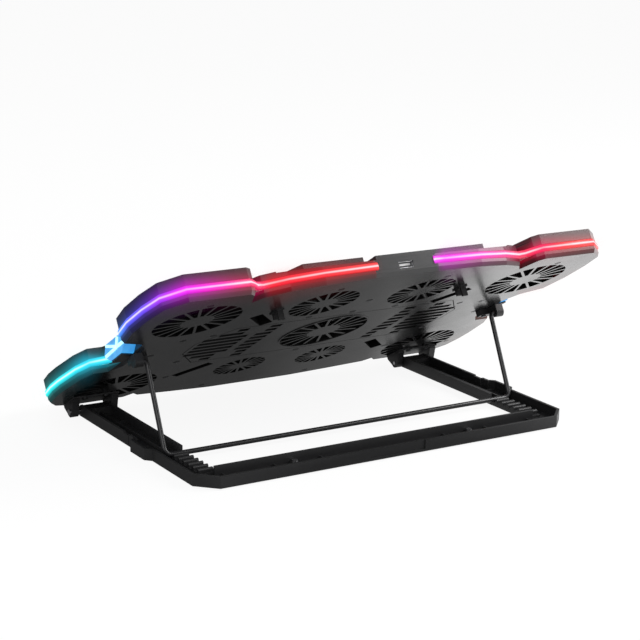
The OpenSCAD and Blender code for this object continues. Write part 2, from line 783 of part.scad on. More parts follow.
module led_tape_left() color("white") on_deck() led_tape(-1);
module led_tape_right() color("white") on_deck() led_tape(1);

// ---------------------------------------------------------------- electronics

module control_board() color([0.05, 0.3, 0.12]) on_deck() {
  translate([-32, -6, 7]) cube([64, 20, 1.4]);
  translate([-8, -4, 8.3]) cube([16, 8, 1.5]);
  translate([-13, panel_v - 3.5, 8.3]) cube([26, 7, 3]);
  for (x = [-28, 28], v = [-3, 8]) translate([x, v, skin + eps]) cylinder(r = 1.6, h = 5.2);
  both_sides() translate([button_x - 3, panel_v - 3, 8.3]) cube([6, 6, 2.5]);
}

module usb_shell() color("silver") on_deck() {
  translate([-usb_w / 2, 247, usb_mid - usb_h / 2]) difference() {
    cube([usb_w, 15.2, usb_h]);
    translate([0.5, 2, 0.5]) cube([usb_w - 1, 20, usb_h - 1]);
  }
}

module usb_tongue() color("white") on_deck()
  translate([-5.5, 249 + eps, usb_mid - 0.2]) cube([11, 11, 1.8]);

module display_window() color([0.02, 0.02, 0.03]) on_deck()
  translate([0, panel_v, deck_top - 1 + eps]) round_plate(33.6, 13.6, 1);

module button(x) {
  translate([x, panel_v, deck_top - 4.4]) {
    cylinder(r = button_r, h = 5.4);
    translate([0, 0, -0.6]) cylinder(r = button_r - 1, h = 1);
  }
}

module button_fan() color([0.4, 0.4, 0.42]) on_deck() button(-button_x);
module button_light() color([0.4, 0.4, 0.42]) on_deck() button(button_x);

module stopper() {
  translate([stop_x - stop_w / 2, stop_v, deck_top - stop_t]) difference() {
    union() {
      cube([stop_w, stop_len - 0.5, stop_t]);
      translate([0, 0, stop_t / 2]) x_rod(stop_t / 2, 0, stop_w);
    }
    translate([0, 0, stop_t / 2]) x_rod(stop_pin_r + fit, -1, stop_w + 1);
  }
}

module stopper_left() color([0.14, 0.14, 0.15]) on_deck() side(-1) stopper();
module stopper_right() color([0.14, 0.14, 0.15]) on_deck() side(1) stopper();

module stopper_pins() color("silver") on_deck() both_sides() translate([0, stop_v, deck_top - stop_t / 2])
  x_rod(stop_pin_r, stop_x - stop_w / 2 - 1.5, stop_x + stop_w / 2 + 1.5);

// wires from the control board to the fans
module lead(a, b) {
  d = b - a;
  translate([a[0], a[1], skin + 1]) rotate([0, 0, atan2(d[1], d[0])]) rotate([0, 90, 0])
    cylinder(r = 0.7, h = norm(d));
}

module fan_leads() color([0.5, 0.05, 0.05]) on_deck() both_sides() {
  lead([10, 12], [100, 12]);
  lead([68, 13], [68, 76]);
}

base_frame();
base_feet();
base_screws();
hinge_pins();
wire_bail();
hinge_bracket_left();
hinge_bracket_right();
bail_bracket_left();
bail_bracket_right();
bracket_screws();
bottom_cover();
top_cover();
cover_screws();
mesh_plate();
grip_pads();
strip_front_left();
strip_front_right();
strip_rear_left();
strip_rear_right();
strip_centre_left();
strip_centre_right();
side_light_left();
side_light_right();
led_tape_left();
led_tape_right();
rotor_rear_left();
rotor_rear_right();
rotor_mid_left();
rotor_mid_right();
rotor_centre();
rotor_small_left();
rotor_small_right();
rotor_front_left();
rotor_front_right();
motor_rear_left();
motor_rear_right();
motor_mid_left();
motor_mid_right();
motor_centre();
motor_small_left();
motor_small_right();
motor_front_left();
motor_front_right();
control_board();
usb_shell();
usb_tongue();
display_window();
button_fan();
button_light();
stopper_left();
stopper_right();
stopper_pins();
bail_clips();
fan_leads();
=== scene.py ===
"""Laptop cooling pad: visual model on the CAD frame. Metres, +Z up, the user is on the -Y side."""
import json
import math

import bmesh
import bpy
from mathutils import Matrix, Vector

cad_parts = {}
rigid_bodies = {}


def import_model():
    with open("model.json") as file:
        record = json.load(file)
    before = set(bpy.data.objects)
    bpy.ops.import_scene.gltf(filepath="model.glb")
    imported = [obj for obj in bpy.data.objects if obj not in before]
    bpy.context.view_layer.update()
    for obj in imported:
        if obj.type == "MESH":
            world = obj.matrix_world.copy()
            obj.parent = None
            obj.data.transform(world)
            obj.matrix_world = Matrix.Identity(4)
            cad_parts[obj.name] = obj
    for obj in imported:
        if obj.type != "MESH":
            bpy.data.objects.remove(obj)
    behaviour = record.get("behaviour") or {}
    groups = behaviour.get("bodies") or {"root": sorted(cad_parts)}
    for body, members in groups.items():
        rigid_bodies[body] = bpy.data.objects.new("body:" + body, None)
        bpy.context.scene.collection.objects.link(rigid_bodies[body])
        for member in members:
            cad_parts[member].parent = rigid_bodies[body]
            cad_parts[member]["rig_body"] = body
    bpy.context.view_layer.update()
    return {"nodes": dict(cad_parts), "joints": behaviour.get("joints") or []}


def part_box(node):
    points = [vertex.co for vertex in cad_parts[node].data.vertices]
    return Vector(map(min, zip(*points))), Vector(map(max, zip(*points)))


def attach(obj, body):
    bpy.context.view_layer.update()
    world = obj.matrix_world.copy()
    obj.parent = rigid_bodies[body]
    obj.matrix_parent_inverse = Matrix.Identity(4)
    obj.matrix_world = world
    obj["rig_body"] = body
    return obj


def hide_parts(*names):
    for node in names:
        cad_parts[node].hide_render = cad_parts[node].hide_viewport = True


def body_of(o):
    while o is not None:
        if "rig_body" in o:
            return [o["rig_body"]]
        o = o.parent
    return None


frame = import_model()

MM = 0.001
TILT = math.radians(31.3)
DROP = 8.9
JOINTS = {j["name"]: j for j in frame["joints"]}
HINGE = Vector(JOINTS["deck_tilt"]["pos_m"])
COS, SIN = math.cos(TILT), math.sin(TILT)
ACROSS = Vector((0, COS, SIN))
NORMAL = Vector((0, -SIN, COS))
DECK = (Matrix.Translation(HINGE) @ Matrix.Rotation(TILT, 4, "X")
        @ Matrix.Translation((0, 0, DROP * MM)) @ Matrix.Scale(MM, 4))
BASE_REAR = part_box("base_frame")[1].y

# heights above the underside of the deck, in millimetres
STRIP_MID = 8.9
DECK_TOP = 17.0
USB_GAP = 26.0
# depth of outer wall that gets painted strip glow, and the parts of the flanks that have no strip
WALL_BAND = 1.5
WAIST_FROM, WAIST_TO = 92.0, 148.0
FRONT_DARK = 3.0

HALF_OUTLINE = [
    (41, -23.2), (80.8, -17.9), (116, -12.3), (121.8, -6), (127.6, -12.9),
    (180, -12.9), (193.3, -8), (202.2, 4.4), (205, 23.2), (205, 41), (201.6, 71.8),
    (195.6, 87.3), (182.2, 87.3), (174.6, 98.6), (174.6, 141.4), (183.6, 156),
    (201.8, 165.3), (206.6, 192.6), (206.6, 222), (203, 246), (188, 260),
    (136, 260), (130.6, 255.6), (124.8, 239.8), (119.2, 247.7), (100.5, 255.6),
    (72.5, 260.6), (29, 263)]


# ---------------------------------------------------------------- node helpers

def new_material(name):
    mat = bpy.data.materials.new(name)
    mat.use_nodes = True
    tree = mat.node_tree
    tree.nodes.clear()
    out = tree.nodes.new("ShaderNodeOutputMaterial")
    return mat, tree, out


def node(tree, kind, settings=None, **inputs):
    n = tree.nodes.new("ShaderNode" + kind)
    for k, v in (settings or {}).items():
        setattr(n, k, v)
    for k, v in inputs.items():
        key = k.replace("_", " ") if k.replace("_", " ") in n.inputs else k
        if isinstance(v, bpy.types.NodeSocket):
            tree.links.new(v, n.inputs[key])
        else:
            n.inputs[key].default_value = v
    return n


def math_node(tree, op, a, b=0.5, clamp=False):
    n = tree.nodes.new("ShaderNodeMath")
    n.operation = op
    n.use_clamp = clamp
    for i, v in enumerate((a, b)):
        if isinstance(v, bpy.types.NodeSocket):
            tree.links.new(v, n.inputs[i])
        else:
            n.inputs[i].default_value = v
    return n.outputs[0]


def ramp(tree, fac, stops):
    n = tree.nodes.new("ShaderNodeValToRGB")
    tree.links.new(fac, n.inputs[0])
    els = n.color_ramp.elements
    while len(els) > 1:
        els.remove(els[-1])
    for i, (pos, col) in enumerate(stops):
        e = els[0] if i == 0 else els.new(pos)
        e.position = pos
        e.color = (*col, 1) if len(col) == 3 else col
    return n.outputs[0]


def grey(value):
    return (value, value, value)


def mix_rgb(tree, fac, a, b, blend="MIX"):
    n = tree.nodes.new("ShaderNodeMix")
    n.data_type = "RGBA"
    n.blend_type = blend
    for i, v in ((0, fac), (6, a), (7, b)):
        if isinstance(v, bpy.types.NodeSocket):
            tree.links.new(v, n.inputs[i])
        elif i:
            n.inputs[i].default_value = (*v, 1)
        else:
            n.inputs[i].default_value = v
    return n.outputs[2]


def rest_position(tree):
    return node(tree, "TexCoord").outputs["Object"]


def noise(tree, pos, scale, detail=3.0, rough=0.55):
    return node(tree, "TexNoise", Vector=pos, Scale=scale, Detail=detail, Roughness=rough).outputs["Fac"]


def deck_axis(tree, pos, axis, offset=0.0):
    """Distance from the hinge along one deck axis, less an offset, in millimetres."""
    rel = node(tree, "VectorMath", {"operation": "SUBTRACT"})
    tree.links.new(pos, rel.inputs[0])
    rel.inputs[1].default_value = HINGE
    dot = node(tree, "VectorMath", {"operation": "DOT_PRODUCT"})
    tree.links.new(rel.outputs[0], dot.inputs[0])
    dot.inputs[1].default_value = axis
    along = math_node(tree, "MULTIPLY", dot.outputs["Value"], 1.0 / MM)
    return math_node(tree, "SUBTRACT", along, offset)


# colour of the light against the angle round the deck, in degrees from +X
HUE_STOPS = [
    (-180, (1.0, 0.10, 0.01)), (-150, (1.0, 0.30, 0.01)),
    (-30, (0.01, 0.85, 0.80)), (-8, (0.02, 0.72, 0.95)),
    (10, (0.04, 0.35, 1.0)), (20, (0.08, 0.10, 1.0)), (27, (0.15, 0.06, 1.0)),
    (32, (0.36, 0.03, 1.0)), (36.5, (0.82, 0.01, 0.95)), (40, (0.98, 0.006, 0.60)),
    (44, (1.0, 0.006, 0.22)), (49, (1.0, 0.006, 0.03)), (85, (1.0, 0.006, 0.008)),
    (95, (0.85, 0.01, 0.95)), (112, (0.98, 0.008, 0.60)), (130, (1.0, 0.006, 0.14)),
    (138, (1.0, 0.006, 0.01)), (180, (1.0, 0.01, 0.01))]


def light_hue(tree, pos):
    u = deck_axis(tree, pos, Vector((1, 0, 0)))
    v = deck_axis(tree, pos, ACROSS, 120.0)
    turn = math_node(tree, "ARCTAN2", v, u)
    share = math_node(tree, "MULTIPLY_ADD", turn, 1 / (2 * math.pi))
    share.node.inputs[2].default_value = 0.5
    return ramp(tree, share, [((a + 180) / 360, c) for a, c in HUE_STOPS])


def strip_distance(tree, pos):
    w = deck_axis(tree, pos, NORMAL, DROP + STRIP_MID)
    return math_node(tree, "ABSOLUTE", w)


def surface(tree, out, color, rough, bump_height=None, bump_strength=0.2, bump_distance=0.0003,
            metallic=0.0, specular=0.5, emission=None, emission_strength=0.0, coat=0.0):
    b = node(tree, "BsdfPrincipled", Metallic=metallic)
    b.inputs["Specular IOR Level"].default_value = specular
    b.inputs["Coat Weight"].default_value = coat
    for key, v in (("Base Color", color), ("Roughness", rough), ("Emission Color", emission),
                   ("Emission Strength", emission_strength)):
        if v is None:
            continue
        if isinstance(v, bpy.types.NodeSocket):
            tree.links.new(v, b.inputs[key])
        else:
            b.inputs[key].default_value = (*v, 1) if isinstance(v, tuple) else v
    if bump_height is not None:
        bump = node(tree, "Bump", Height=bump_height, Strength=bump_strength, Distance=bump_distance)
        tree.links.new(bump.outputs[0], b.inputs["Normal"])
    tree.links.new(b.outputs[0], out.inputs[0])
    return b


# ---------------------------------------------------------------- materials

def plastic(name, color, rough, grain=1400.0, bump=0.12, wear=0.25, glow=0.0, specular=0.5):
    """Moulded plastic: fine grain, cloudy roughness and slightly paler worn edges."""
    mat, tree, out = new_material(name)
    pos = rest_position(tree)
    fine = noise(tree, pos, grain, 2.0)
    cloud = noise(tree, pos, 35.0, 4.0)
    pale = tuple(min(1.0, c * 1.9 + 0.02) for c in color)
    sharp = node(tree, "NewGeometry").outputs["Pointiness"]
    edge = math_node(tree, "MULTIPLY", math_node(tree, "SUBTRACT", sharp, 0.53, True), 14.0 * wear, True)
    lighter = tuple(c * 1.35 for c in color)
    tone = mix_rgb(tree, math_node(tree, "MULTIPLY", cloud, 0.35), color, lighter)
    col = mix_rgb(tree, edge, tone, pale)
    r = math_node(tree, "ADD", rough - 0.06, math_node(tree, "MULTIPLY", cloud, 0.12))
    emission, strength = None, 0.0
    # with glow set: painted light, emission in the strip colours on side-facing faces, fading away from the
    # strip height
    if glow:
        dist = strip_distance(tree, pos)
        fall = math_node(tree, "POWER", 2.718, math_node(tree, "MULTIPLY", dist, -0.28))
        facing = node(tree, "VectorMath", {"operation": "DOT_PRODUCT"})
        tree.links.new(node(tree, "NewGeometry").outputs["Normal"], facing.inputs[0])
        facing.inputs[1].default_value = NORMAL
        side = math_node(tree, "SUBTRACT", 1.0, math_node(tree, "ABSOLUTE", facing.outputs["Value"]))
        emission = light_hue(tree, pos)
        strength = math_node(tree, "MULTIPLY", math_node(tree, "MULTIPLY", fall, glow), side)
    surface(tree, out, col, r, fine, bump, emission=emission, emission_strength=strength, specular=specular)
    return mat


def metal(name, color, rough, streak=600.0):
    mat, tree, out = new_material(name)
    pos = rest_position(tree)
    stretch = node(tree, "Mapping", Vector=pos)
    stretch.inputs["Scale"].default_value = (1, 20, 20)
    grain = noise(tree, stretch.outputs[0], streak / 4, 3.0)
    cloud = noise(tree, pos, 60.0, 4.0)
    r = math_node(tree, "ADD", rough, math_node(tree, "MULTIPLY", cloud, 0.18))
    dull = tuple(c * 0.75 for c in color)
    surface(tree, out, mix_rgb(tree, cloud, color, dull), r, grain, 0.15, metallic=1.0)
    return mat


def lacquered_wire(name):
    """Black lacquer over steel with small bright rubs."""
    mat, tree, out = new_material(name)
    pos = rest_position(tree)
    grime = noise(tree, pos, 240.0, 5.0, 0.7)
    chips = ramp(tree, grime, [(0.0, (0, 0, 0)), (0.68, (0, 0, 0)), (0.74, (1, 1, 1))])
    rub = math_node(tree, "MULTIPLY", chips, 0.25)
    col = mix_rgb(tree, rub, (0.022, 0.022, 0.024), (0.22, 0.22, 0.23))
    cloud = noise(tree, pos, 50.0)
    r = math_node(tree, "ADD", 0.26, math_node(tree, "MULTIPLY", cloud, 0.15))
    surface(tree, out, col, r, noise(tree, pos, 900.0), 0.08, coat=0.3)
    return mat


def lit_strip(name, strength):
    """Milky diffuser: a thin white-hot core inside a saturated band that fades towards its edges."""
    mat, tree, out = new_material(name)
    pos = rest_position(tree)
    hue = light_hue(tree, pos)
    dist = strip_distance(tree, pos)
    wobble = math_node(tree, "MULTIPLY", noise(tree, pos, 90.0), 0.3)
    core = ramp(tree, math_node(tree, "DIVIDE", math_node(tree, "ADD", dist, wobble), 3.0),
                [(0.0, grey(0.72)), (0.2, grey(0.42)), (0.4, grey(0.02)), (1.0, grey(0.0))])
    col = mix_rgb(tree, core, hue, (1.0, 0.90, 0.95))
    fade = math_node(tree, "SUBTRACT", 1.2, math_node(tree, "DIVIDE", dist, 4.2), True)
    surface(tree, out, (0.05, 0.05, 0.05), 0.4, noise(tree, pos, 1200.0), 0.05, emission=col,
            emission_strength=math_node(tree, "MULTIPLY", fade, strength))
    return mat


def badge_light(name, deep, pale, strength):
    """Glow of the flank badges, cloudy so that the facets do not look flat."""
    mat, tree, out = new_material(name)
    pos = rest_position(tree)
    cloud = noise(tree, pos, 70.0, 2.0)
    col = mix_rgb(tree, cloud, deep, pale)
    uneven = math_node(tree, "MULTIPLY", cloud, 0.5)
    surface(tree, out, (0.2, 0.3, 0.35), 0.25, noise(tree, pos, 1500.0), 0.05, emission=col,
            emission_strength=math_node(tree, "ADD", strength - 0.25, uneven))
    return mat


def halo_glow(name, strength):
    """Bloom round a light strip for the camera only: strongest over the strip, nothing at its rim."""
    mat, tree, out = new_material(name)
    pos = rest_position(tree)
    geo = node(tree, "NewGeometry")
    facing = node(tree, "VectorMath", {"operation": "DOT_PRODUCT"})
    tree.links.new(geo.outputs["Normal"], facing.inputs[0])
    tree.links.new(geo.outputs["Incoming"], facing.inputs[1])
    c = facing.outputs["Value"]
    off = math_node(tree, "SQRT", math_node(tree, "SUBTRACT", 1.0, math_node(tree, "MULTIPLY", c, c), True))
    soft = math_node(tree, "POWER", math_node(tree, "SUBTRACT", 1.0, off, True), 1.6)
    front = math_node(tree, "SUBTRACT", 1.0, geo.outputs["Backfacing"])
    seen = math_node(tree, "MULTIPLY", front, node(tree, "LightPath").outputs["Is Camera Ray"])
    fac = math_node(tree, "MULTIPLY", math_node(tree, "MULTIPLY", soft, strength), seen)
    clear = node(tree, "BsdfTransparent")
    light = node(tree, "Emission", Color=light_hue(tree, pos), Strength=1.0)
    mix = tree.nodes.new("ShaderNodeMixShader")
    tree.links.new(fac, mix.inputs[0])
    tree.links.new(clear.outputs[0], mix.inputs[1])
    tree.links.new(light.outputs[0], mix.inputs[2])
    tree.links.new(mix.outputs[0], out.inputs[0])
    return mat


def rubber(name):
    mat, tree, out = new_material(name)
    pos = rest_position(tree)
    dust = noise(tree, pos, 130.0, 5.0, 0.7)
    film = math_node(tree, "MULTIPLY", dust, 0.5)
    col = mix_rgb(tree, film, grey(0.018), (0.07, 0.068, 0.065))
    surface(tree, out, col, 0.82, noise(tree, pos, 2200.0), 0.3)
    return mat


def circuit(name):
    mat, tree, out = new_material(name)
    pos = rest_position(tree)
    tracks = node(tree, "TexBrick", Vector=pos, Scale=180.0)
    col = mix_rgb(tree, tracks.outputs["Fac"], (0.01, 0.12, 0.04), (0.02, 0.25, 0.09))
    surface(tree, out, col, 0.3, tracks.outputs["Fac"], 0.2)
    return mat


def paint(obj, mat):
    obj.data.materials.clear()
    obj.data.materials.append(mat)


def soften(obj, width, angle=35.0, segments=2):
    """Thin bevel on the sharp edges of a CAD node, so that they catch the light."""
    flat = obj.modifiers.new("flat", "DECIMATE")
    flat.decimate_type = "DISSOLVE"
    flat.angle_limit = math.radians(0.5)
    flat.delimit = {"MATERIAL"}
    bev = obj.modifiers.new("edges", "BEVEL")
    bev.width = width * MM
    bev.segments = segments
    bev.limit_method = "ANGLE"
    bev.angle_limit = math.radians(angle)
    bev.use_clamp_overlap = True
    bev.harden_normals = False


def full_outline():
    half = HALF_OUTLINE
    return half + [(-x, v) for x, v in reversed(half)]


def outline_gap(x, v):
    """Distance from a point to the deck's outline, in millimetres."""
    ring = full_outline()
    best = 1e9
    for (ax, av), (bx, bv) in zip(ring, ring[1:] + ring[:1]):
        dx, dv = bx - ax, bv - av
        t = max(0.0, min(1.0, ((x - ax) * dx + (v - av) * dv) / (dx * dx + dv * dv)))
        best = min(best, math.hypot(x - ax - t * dx, v - av - t * dv))
    return best


def zone_faces(obj):
    """Materials of a shell: painted strip glow on outer walls beside the strips, painted shade (darker and
    matt) on inner faces, satin elsewhere.
    """
    for mat in (PAINTED_GLOW_WALL, INSIDE_PAINTED_SHADE):
        obj.data.materials.append(mat)
    to_deck = DECK.inverted() @ obj.matrix_world
    turn = obj.matrix_world.to_3x3()
    for face in obj.data.polygons:
        at = to_deck @ face.center
        outer = outline_gap(at.x, at.y) < WALL_BAND
        beside_strip = abs(at.x) > USB_GAP and at.y > FRONT_DARK and not WAIST_FROM < at.y < WAIST_TO
        # outer walls beside a strip get the painted strip glow
        if outer and beside_strip and abs((turn @ face.normal).dot(NORMAL)) < 0.8:
            face.material_index = 1
        elif not outer and 0.15 < at.z < DECK_TOP - 1.5:
            # inner faces get painted shade: the darker, matt inside copy of the shell plastic
            face.material_index = 2


CAD = frame["nodes"]
BLACK = plastic("black_plastic", (0.022, 0.022, 0.023), 0.42, wear=0.3, specular=0.4)
SATIN = plastic("deck_plastic", (0.020, 0.020, 0.021), 0.24, grain=2200.0, bump=0.03, wear=0.15,
                specular=0.6)
# painted light: emission on the walls beside the strips, standing in for the strips' glow on the shell
PAINTED_GLOW_WALL = plastic("deck_plastic_painted_glow", (0.014, 0.014, 0.015), 0.3, grain=2200.0, bump=0.04, wear=0.15,
                    glow=0.6)
# painted shade: inner faces of the shell, darker than the outside plastic
INSIDE_PAINTED_SHADE = plastic("deck_inside_painted_shade", (0.006, 0.006, 0.006), 0.7, wear=0.0, specular=0.1)
FAN = plastic("fan_plastic", (0.016, 0.016, 0.018), 0.4)
MOTOR = plastic("motor_can", (0.06, 0.06, 0.065), 0.5)
GREY = plastic("button_grey", (0.09, 0.09, 0.095), 0.4)
GLOSS = plastic("display_black", (0.006, 0.006, 0.007), 0.12, bump=0.02)
WHITE = plastic("white_plastic", (0.75, 0.75, 0.73), 0.45)
LEAD = plastic("lead_red", (0.30, 0.01, 0.01), 0.5)
MESH = plastic("mesh_black", (0.014, 0.014, 0.015), 0.45, grain=3000.0, bump=0.25)
RUBBER = rubber("rubber")
WIRE = lacquered_wire("wire_steel")
STEEL = metal("pin_steel", (0.62, 0.62, 0.64), 0.22)
DARK_STEEL = metal("screw_steel", (0.10, 0.10, 0.105), 0.4)
BOARD = circuit("circuit_board")
LIT = lit_strip("lit_strip", 1.45)
BADGE = badge_light("badge_light", (0.005, 0.24, 0.85), (0.06, 0.52, 1.0), 0.75)
HALO = halo_glow("strip_halo", 0.5)
BLOOM = halo_glow("strip_bloom", 0.13)

PAINT = {
    "base_frame": BLACK, "hinge_bracket": BLACK, "bail_bracket": BLACK, "bail_clips": BLACK,
    "stopper_left": BLACK, "stopper_right": BLACK, "bottom_cover": SATIN, "top_cover": SATIN,
    "rotor": FAN, "motor": MOTOR, "base_feet": RUBBER, "grip_pads": RUBBER, "wire_bail": WIRE,
    "base_screws": STEEL, "hinge_pins": STEEL, "stopper_pins": STEEL, "bracket_screws": DARK_STEEL,
    "cover_screws": DARK_STEEL, "mesh_plate": MESH, "strip": LIT, "side_light": BADGE,
    "led_tape": WHITE, "control_board": BOARD, "usb_shell": STEEL, "usb_tongue": WHITE,
    "display_window": GLOSS, "button": GREY, "fan_leads": LEAD}
for name, obj in CAD.items():
    key = max((k for k in PAINT if name.startswith(k)), key=len)
    paint(obj, PAINT[key])
for name, obj in CAD.items():
    if name == "base_frame" or name.startswith(("hinge_bracket", "bail_bracket")):
        soften(obj, 0.4)
for name in ("bottom_cover", "top_cover"):
    zone_faces(CAD[name])
    soften(CAD[name], 0.3)


# ---------------------------------------------------------------- modelled pieces

def add_mesh(name, verts, faces, mat, smooth=None, matrix=DECK):
    """New piece from deck-millimetre points, shaded smooth below the edge angle smooth, in degrees."""
    mesh = bpy.data.meshes.new(name)
    mesh.from_pydata([matrix @ Vector(p) for p in verts], [], faces)
    bm = bmesh.new()
    bm.from_mesh(mesh)
    bmesh.ops.remove_doubles(bm, verts=bm.verts, dist=1e-6)
    bmesh.ops.recalc_face_normals(bm, faces=bm.faces)
    if smooth is not None:
        for f in bm.faces:
            f.smooth = True
        for e in bm.edges:
            if len(e.link_faces) == 2 and e.calc_face_angle(0.0) > math.radians(smooth):
                e.smooth = False
    bm.to_mesh(mesh)
    bm.free()
    obj = bpy.data.objects.new(name, mesh)
    bpy.context.scene.collection.objects.link(obj)
    paint(obj, mat)
    return obj


def miters(path):
    """Outward direction at each point of an open path that runs counter-clockwise round the deck."""
    out = []
    for i, p in enumerate(path):
        near = []
        for a, b in zip(path[max(0, i - 1):i + 1], path[max(0, i - 1) + 1:i + 2]):
            d = Vector((b[0] - a[0], b[1] - a[1])).normalized()
            near.append(Vector((d.y, -d.x)))
        m = sum(near, Vector((0, 0))).normalized()
        out.append(m / max(0.45, m.dot(near[0])))
    return out


def sweep(path, profile, caps=True):
    """Points and faces of a profile (outward, height) carried along a path."""
    verts, faces = [], []
    n = len(profile)
    for p, m in zip(path, miters(path)):
        verts += [(p[0] + m.x * o, p[1] + m.y * o, w) for o, w in profile]
    for i in range(len(path) - 1):
        for k in range(n):
            k2 = (k + 1) % n
            faces.append((i * n + k, i * n + k2, (i + 1) * n + k2, (i + 1) * n + k))
    if caps:
        faces.append(tuple(range(n)))
        faces.append(tuple(reversed(range(len(verts) - n, len(verts)))))
    return verts, faces


def side_path(path, side):
    """The same run on the right (side 1) or mirrored to the left (side -1), still counter-clockwise."""
    return path if side > 0 else [(-x, v) for x, v in reversed(path)]


def taper_end(verts, start, count):
    """Draws one end ring of a glow tube in to a small ring, so that the glow fades out there."""
    centre = sum((Vector(v) for v in verts[start:start + count]), Vector()) / count
    for k in range(start, start + count):
        verts[k] = tuple(centre.lerp(Vector(verts[k]), 0.12))


def light_strip(node_name, path, side):
    """Rounded diffuser in place of a CAD strip, with two glow tubes that only the camera sees."""
    path = side_path(path, side)
    verts, faces = sweep(path, STRIP_PROFILE)
    strip = add_mesh(node_name + "_diffuser", verts, faces, LIT, 50)
    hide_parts(node_name)
    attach(strip, "deck")
    for label, radius, mat in (("halo", HALO_R, HALO), ("bloom", BLOOM_R, BLOOM)):
        ring = [(1.0 + radius * math.cos(math.radians(a)), STRIP_MID + radius * math.sin(math.radians(a)))
                for a in range(0, 360, 15)]
        verts, faces = sweep(path, ring, caps=False)
        taper_end(verts, 0, len(ring))
        taper_end(verts, len(verts) - len(ring), len(ring))
        halo = add_mesh(node_name + "_" + label, verts, faces, mat, 180)
        halo.parent = strip
        halo.matrix_parent_inverse = strip.matrix_world.inverted()
        for kind in ("diffuse", "glossy", "transmission", "shadow", "volume_scatter"):
            setattr(halo, "visible_" + kind, False)


STRIP_PROFILE = [(-2, 5.9), (0.2, 5.9), (0.8, 6.6), (1.1, 7.8), (1.2, 8.9), (1.1, 10), (0.8, 11.2),
                 (0.2, 11.9), (-2, 11.9)]
HALO_R = 10.5
BLOOM_R = 20.0
FRONT_RUN = [(201.6, 3.55)] + HALF_OUTLINE[7:12] + [(179.04, WAIST_FROM)]
REAR_RUN = [(178.7, WAIST_TO)] + HALF_OUTLINE[15:23] + [(125.2, 249.8)]
CENTRE_RUN = [(125.0, 249.6), (119.2, 248.1)] + HALF_OUTLINE[25:28] + [(26.1, 263.05)]
for side, label in ((-1, "left"), (1, "right")):
    light_strip("strip_front_" + label, FRONT_RUN, side)
    light_strip("strip_rear_" + label, REAR_RUN, side)
    light_strip("strip_centre_" + label, CENTRE_RUN, side)


def deck_box(obj):
    """Lowest and highest corner of a CAD node in deck millimetres."""
    to_deck = DECK.inverted() @ obj.matrix_world
    points = [to_deck @ v.co for v in obj.data.vertices]
    return [Vector([pick(p[k] for p in points) for k in range(3)]) for pick in (min, max)]


def fan_rotor(node_name, blades=11):
    """Moulded impeller: domed cup with swept, pitched blades."""
    old = CAD[node_name]
    low, high = deck_box(old)
    centre = (low + high) / 2
    r_out = (high.x - low.x) / 2
    cup = r_out * 0.40
    z0, z1 = low.z + 0.4, high.z
    verts, faces = [], []
    turns = 40
    rings = [(0.0, z0 + 1), (cup - 1.0, z0 + 1), (cup - 0.9, z0), (cup, z0), (cup, z1 - 1.6),
             (cup - 0.5, z1 - 0.5), (cup - 1.6, z1), (0.0, z1)]
    for r, z in rings:
        for k in range(turns):
            a = 2 * math.pi * k / turns
            verts.append((centre.x + r * math.cos(a), centre.y + r * math.sin(a), z))
    for i in range(len(rings) - 1):
        for k in range(turns):
            k2 = (k + 1) % turns
            faces.append((i * turns + k, i * turns + k2, (i + 1) * turns + k2, (i + 1) * turns + k))
    mid = (z0 + z1) / 2
    steps, sweep_angle = 6, 0.42
    half_root, half_growth, half_thick = 3.0, 1.1, 0.4
    for b in range(blades):
        start = len(verts)
        for i in range(steps + 1):
            t = i / steps
            r = cup - 0.5 + (r_out - 0.3 - cup + 0.5) * t
            lead = 2 * math.pi * b / blades + sweep_angle * t * t
            half = half_root + half_growth * t
            for along, up in ((-1, -1), (0, -0.15), (1, 1)):
                for thick in (-half_thick, half_thick):
                    a = lead + along * half * 0.78 / r
                    verts.append((centre.x + r * math.cos(a), centre.y + r * math.sin(a),
                                  mid + up * half * 0.62 + thick))
        for i in range(steps):
            a, c = start + i * 6, start + (i + 1) * 6
            for q in ((0, 2), (2, 4), (5, 3), (3, 1), (4, 5), (1, 0)):
                faces.append((a + q[0], a + q[1], c + q[1], c + q[0]))
        for e in (start, start + steps * 6):
            faces += [(e, e + 1, e + 3, e + 2), (e + 2, e + 3, e + 5, e + 4)]
    rotor = add_mesh(node_name + "_blades", verts, faces, FAN, 35)
    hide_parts(node_name)
    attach(rotor, body_of(old)[0])


for node_name in sorted(CAD):
    if node_name.startswith("rotor_"):
        fan_rotor(node_name)


